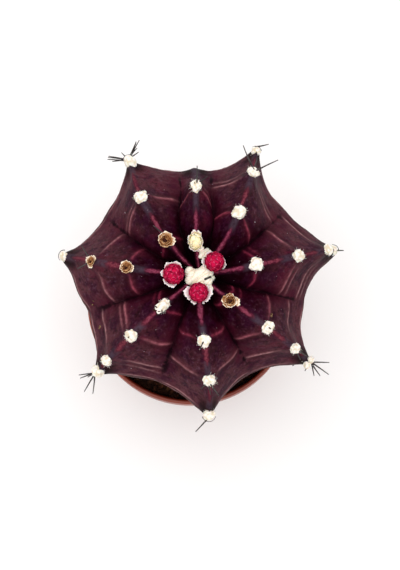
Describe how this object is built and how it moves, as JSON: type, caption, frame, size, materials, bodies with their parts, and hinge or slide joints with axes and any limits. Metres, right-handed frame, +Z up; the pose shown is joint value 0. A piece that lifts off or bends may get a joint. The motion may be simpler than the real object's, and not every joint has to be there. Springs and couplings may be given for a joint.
{
  "type": "potted moon cactus",
  "caption": "Star-shaped, deeply ribbed purple cactus with woolly areoles, thin spines and crimson buds at its crown, rooted in soil in a small round tapered plastic pot.",
  "frame": {"origin": "on the pot's axis, in the plane of its flat base", "axes": "+Z up along the pot's axis, +X to the right and +Y away from the viewer in the view from above"},
  "size_m": [0.0818, 0.0809, 0.0902],
  "materials": {
    "pot_plastic": "satin",
    "soil": "matte",
    "cactus_skin": "satin",
    "wool": "matte",
    "bud_crimson": "matte",
    "bud_pale": "matte",
    "dried_petals": "matte"
  },
  "bodies": {
    "root": {"pot": "pot_plastic", "soil": "soil", "cactus": "cactus_skin", "crown_wool": "wool", "bud_left": "bud_crimson", "bud_right": "bud_crimson", "bud_front": "bud_crimson", "bud_pale": "bud_pale", "dried_flower_upper_left": "dried_petals", "dried_flower_lower_right": "dried_petals", "dried_flower_left_inner": "dried_petals", "dried_flower_left_outer": "dried_petals"}
  },
  "joints": []
}
